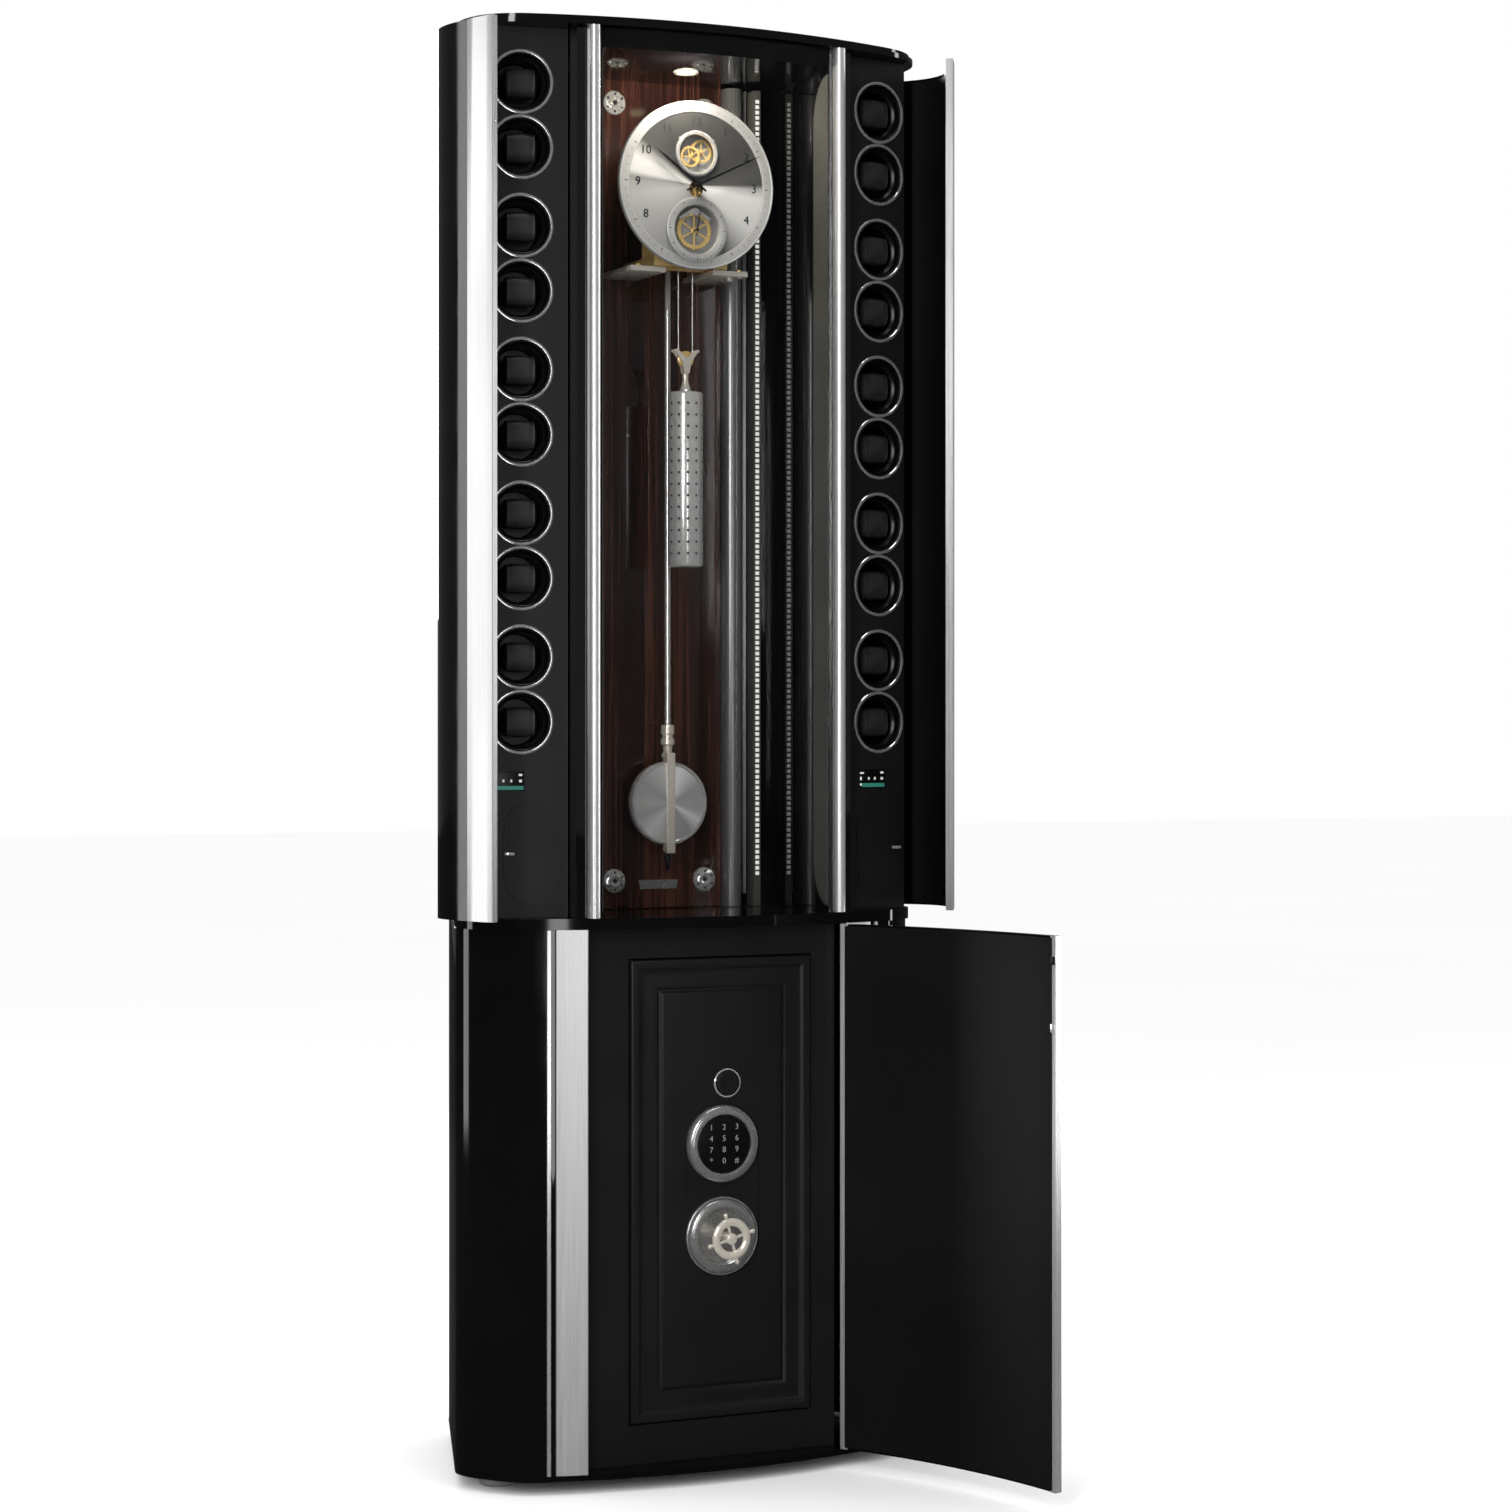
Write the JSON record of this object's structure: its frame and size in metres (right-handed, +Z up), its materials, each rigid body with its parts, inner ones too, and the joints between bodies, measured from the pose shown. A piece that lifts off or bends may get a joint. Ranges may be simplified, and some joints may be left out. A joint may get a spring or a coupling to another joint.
{
  "type": "longcase clock",
  "caption": "Tall bow-fronted black longcase regulator clock with pendulum and weight, watch-winder wings behind curved doors, and a safe in its base.",
  "frame": {"origin": "on the floor, at the middle of the rectangle that the clock takes up with its doors open as stored", "axes": "+Z up, the front faces -Y, +X is to the right of a person who faces the front"},
  "size_m": [0.8532, 0.8974, 2.219],
  "materials": {
    "lacquer": "high-gloss piano-black lacquer",
    "satin_black": "satin black panel",
    "safe_paint": "matte black safe paint",
    "aluminium": "satin brushed aluminium",
    "chrome": "polished chrome",
    "dial_silver": "spun silvered metal",
    "brass": "polished gilt brass",
    "hands": "blackened steel",
    "wood": "high-gloss dark macassar veneer",
    "leather": "black leather and satin cup",
    "glass": "clear curved glass"
  },
  "bodies": {
    "root": {"foot_front_left": "chrome", "foot_front_right": "chrome", "foot_back_left": "chrome", "foot_back_right": "chrome", "base_board": "lacquer", "waist_board": "lacquer", "top_cap": "lacquer", "back_panel": "lacquer", "lower_side_left": "lacquer", "lower_side_right": "lacquer", "upper_side_left": "lacquer", "upper_side_right": "lacquer", "lower_strip_left": "aluminium", "lower_strip_right": "aluminium", "bay_strip_left": "aluminium", "bay_strip_right": "aluminium", "bay_wall_left": "lacquer", "bay_wall_right": "lacquer", "bay_glass": "glass", "winder_panel_left": "satin_black", "winder_panel_right": "satin_black", "clock_backboard": "wood", "movement_frame": "brass", "dial": "dial_silver", "safe_body": "safe_paint", "weight_cable": "chrome"},
    "rotor_left_01": {"rotor_left_01": "leather"},
    "rotor_left_02": {"rotor_left_02": "leather"},
    "rotor_left_03": {"rotor_left_03": "leather"},
    "rotor_left_04": {"rotor_left_04": "leather"},
    "rotor_left_05": {"rotor_left_05": "leather"},
    "rotor_left_06": {"rotor_left_06": "leather"},
    "rotor_left_07": {"rotor_left_07": "leather"},
    "rotor_left_08": {"rotor_left_08": "leather"},
    "rotor_left_09": {"rotor_left_09": "leather"},
    "rotor_left_10": {"rotor_left_10": "leather"},
    "wing_door_left": {"wing_door_left": "lacquer"},
    "rotor_right_01": {"rotor_right_01": "leather"},
    "rotor_right_02": {"rotor_right_02": "leather"},
    "rotor_right_03": {"rotor_right_03": "leather"},
    "rotor_right_04": {"rotor_right_04": "leather"},
    "rotor_right_05": {"rotor_right_05": "leather"},
    "rotor_right_06": {"rotor_right_06": "leather"},
    "rotor_right_07": {"rotor_right_07": "leather"},
    "rotor_right_08": {"rotor_right_08": "leather"},
    "rotor_right_09": {"rotor_right_09": "leather"},
    "rotor_right_10": {"rotor_right_10": "leather"},
    "wing_door_right": {"wing_door_right": "lacquer"},
    "lower_door": {"lower_door": "lacquer"},
    "safe_door": {"safe_door": "safe_paint", "safe_keypad": "aluminium"},
    "safe_handle": {"safe_handle": "chrome"},
    "safe_button": {"safe_button": "safe_paint"},
    "minute_hand": {"minute_hand": "hands"},
    "hour_hand": {"hour_hand": "hands"},
    "seconds_hand": {"seconds_hand": "hands"},
    "weight": {"weight": "chrome"},
    "pulley": {"pulley": "brass"},
    "great_wheel": {"great_wheel": "brass"},
    "pendulum": {"pendulum": "chrome"}
  },
  "joints": [
    {"name": "rotor_left_01_spin", "type": "hinge", "parent": "root", "child": "rotor_left_01", "pos_m": [-0.302, 0.008, 2.122], "axis": [-0.1736, -0.9848, 0], "continuous": true},
    {"name": "rotor_left_02_spin", "type": "hinge", "parent": "root", "child": "rotor_left_02", "pos_m": [-0.302, 0.008, 2.024], "axis": [-0.1736, -0.9848, 0], "continuous": true},
    {"name": "rotor_left_03_spin", "type": "hinge", "parent": "root", "child": "rotor_left_03", "pos_m": [-0.302, 0.008, 1.9055], "axis": [-0.1736, -0.9848, 0], "continuous": true},
    {"name": "rotor_left_04_spin", "type": "hinge", "parent": "root", "child": "rotor_left_04", "pos_m": [-0.302, 0.008, 1.8075], "axis": [-0.1736, -0.9848, 0], "continuous": true},
    {"name": "rotor_left_05_spin", "type": "hinge", "parent": "root", "child": "rotor_left_05", "pos_m": [-0.302, 0.008, 1.689], "axis": [-0.1736, -0.9848, 0], "continuous": true},
    {"name": "rotor_left_06_spin", "type": "hinge", "parent": "root", "child": "rotor_left_06", "pos_m": [-0.302, 0.008, 1.591], "axis": [-0.1736, -0.9848, 0], "continuous": true},
    {"name": "rotor_left_07_spin", "type": "hinge", "parent": "root", "child": "rotor_left_07", "pos_m": [-0.302, 0.008, 1.4725], "axis": [-0.1736, -0.9848, 0], "continuous": true},
    {"name": "rotor_left_08_spin", "type": "hinge", "parent": "root", "child": "rotor_left_08", "pos_m": [-0.302, 0.008, 1.3745], "axis": [-0.1736, -0.9848, 0], "continuous": true},
    {"name": "rotor_left_09_spin", "type": "hinge", "parent": "root", "child": "rotor_left_09", "pos_m": [-0.302, 0.008, 1.256], "axis": [-0.1736, -0.9848, 0], "continuous": true},
    {"name": "rotor_left_10_spin", "type": "hinge", "parent": "root", "child": "rotor_left_10", "pos_m": [-0.302, 0.008, 1.158], "axis": [-0.1736, -0.9848, 0], "continuous": true},
    {"name": "wing_door_left_hinge", "type": "hinge", "parent": "root", "child": "wing_door_left", "pos_m": [-0.38, 0.085, 1.534], "axis": [0, 0, 1], "range_deg": [-40.6, 54.4]},
    {"name": "rotor_right_01_spin", "type": "hinge", "parent": "root", "child": "rotor_right_01", "pos_m": [0.302, 0.008, 2.122], "axis": [0.1736, -0.9848, 0], "continuous": true},
    {"name": "rotor_right_02_spin", "type": "hinge", "parent": "root", "child": "rotor_right_02", "pos_m": [0.302, 0.008, 2.024], "axis": [0.1736, -0.9848, 0], "continuous": true},
    {"name": "rotor_right_03_spin", "type": "hinge", "parent": "root", "child": "rotor_right_03", "pos_m": [0.302, 0.008, 1.9055], "axis": [0.1736, -0.9848, 0], "continuous": true},
    {"name": "rotor_right_04_spin", "type": "hinge", "parent": "root", "child": "rotor_right_04", "pos_m": [0.302, 0.008, 1.8075], "axis": [0.1736, -0.9848, 0], "continuous": true},
    {"name": "rotor_right_05_spin", "type": "hinge", "parent": "root", "child": "rotor_right_05", "pos_m": [0.302, 0.008, 1.689], "axis": [0.1736, -0.9848, 0], "continuous": true},
    {"name": "rotor_right_06_spin", "type": "hinge", "parent": "root", "child": "rotor_right_06", "pos_m": [0.302, 0.008, 1.591], "axis": [0.1736, -0.9848, 0], "continuous": true},
    {"name": "rotor_right_07_spin", "type": "hinge", "parent": "root", "child": "rotor_right_07", "pos_m": [0.302, 0.008, 1.4725], "axis": [0.1736, -0.9848, 0], "continuous": true},
    {"name": "rotor_right_08_spin", "type": "hinge", "parent": "root", "child": "rotor_right_08", "pos_m": [0.302, 0.008, 1.3745], "axis": [0.1736, -0.9848, 0], "continuous": true},
    {"name": "rotor_right_09_spin", "type": "hinge", "parent": "root", "child": "rotor_right_09", "pos_m": [0.302, 0.008, 1.256], "axis": [0.1736, -0.9848, 0], "continuous": true},
    {"name": "rotor_right_10_spin", "type": "hinge", "parent": "root", "child": "rotor_right_10", "pos_m": [0.302, 0.008, 1.158], "axis": [0.1736, -0.9848, 0], "continuous": true},
    {"name": "wing_door_right_hinge", "type": "hinge", "parent": "root", "child": "wing_door_right", "pos_m": [0.38, 0.085, 1.534], "axis": [0, 0, 1], "range_deg": [-45.3, 49.7]},
    {"name": "lower_door_hinge", "type": "hinge", "parent": "root", "child": "lower_door", "pos_m": [0.2154, -0.0497, 0.437], "axis": [0, 0, 1], "range_deg": [-110.3, 6]},
    {"name": "safe_door_hinge", "type": "hinge", "parent": "root", "child": "safe_door", "pos_m": [0.171, -0.0215, 0.443], "axis": [0, 0, 1], "range_deg": [0, 100]},
    {"name": "safe_handle_turn", "type": "hinge", "parent": "safe_door", "child": "safe_handle", "pos_m": [0.0175, -0.0542, 0.368], "axis": [0, -1, 0], "range_deg": [0, 90]},
    {"name": "safe_button_press", "type": "slide", "parent": "safe_door", "child": "safe_button", "axis": [0, 1, 0], "range_m": [0, 0.0025], "stiffness_N_per_m": 400, "springref_m": -0.001},
    {"name": "minute_hand_turn", "type": "hinge", "parent": "root", "child": "minute_hand", "pos_m": [0, 0.026, 1.991], "axis": [0, 1, 0], "continuous": true},
    {"name": "hour_hand_turn", "type": "hinge", "parent": "root", "child": "hour_hand", "pos_m": [0, 0.03, 1.991], "axis": [0, 1, 0], "continuous": true},
    {"name": "seconds_hand_turn", "type": "hinge", "parent": "root", "child": "seconds_hand", "pos_m": [0, 0.0335, 1.922], "axis": [0, 1, 0], "continuous": true},
    {"name": "weight_drop", "type": "slide", "parent": "root", "child": "weight", "axis": [0, 0, 1], "range_m": [-0.42, 0.06], "deforming": ["weight_cable"]},
    {"name": "pulley_turn", "type": "hinge", "parent": "weight", "child": "pulley", "pos_m": [0, 0.081, 1.725], "axis": [0, 1, 0], "continuous": true},
    {"name": "great_wheel_turn", "type": "hinge", "parent": "root", "child": "great_wheel", "pos_m": [-0.008, 0.0843, 1.925], "axis": [0, 1, 0], "continuous": true},
    {"name": "pendulum_swing", "type": "hinge", "parent": "root", "child": "pendulum", "pos_m": [0, 0.15, 2.03], "axis": [0, 1, 0], "range_deg": [-2, 2]}
  ],
  "couplings": [
    {"joint": "rotor_left_02_spin", "follows": "rotor_left_01_spin", "ratio": 1},
    {"joint": "rotor_left_04_spin", "follows": "rotor_left_03_spin", "ratio": 1},
    {"joint": "rotor_left_06_spin", "follows": "rotor_left_05_spin", "ratio": 1},
    {"joint": "rotor_left_08_spin", "follows": "rotor_left_07_spin", "ratio": 1},
    {"joint": "rotor_left_10_spin", "follows": "rotor_left_09_spin", "ratio": 1},
    {"joint": "rotor_right_02_spin", "follows": "rotor_right_01_spin", "ratio": 1},
    {"joint": "rotor_right_04_spin", "follows": "rotor_right_03_spin", "ratio": 1},
    {"joint": "rotor_right_06_spin", "follows": "rotor_right_05_spin", "ratio": 1},
    {"joint": "rotor_right_08_spin", "follows": "rotor_right_07_spin", "ratio": 1},
    {"joint": "rotor_right_10_spin", "follows": "rotor_right_09_spin", "ratio": 1},
    {"joint": "hour_hand_turn", "follows": "seconds_hand_turn", "ratio": 0.0013889},
    {"joint": "minute_hand_turn", "follows": "seconds_hand_turn", "ratio": 0.016667},
    {"joint": "pulley_turn", "follows": "weight_drop", "rad_per_m": 83.333},
    {"joint": "great_wheel_turn", "follows": "weight_drop", "rad_per_m": 100}
  ]
}
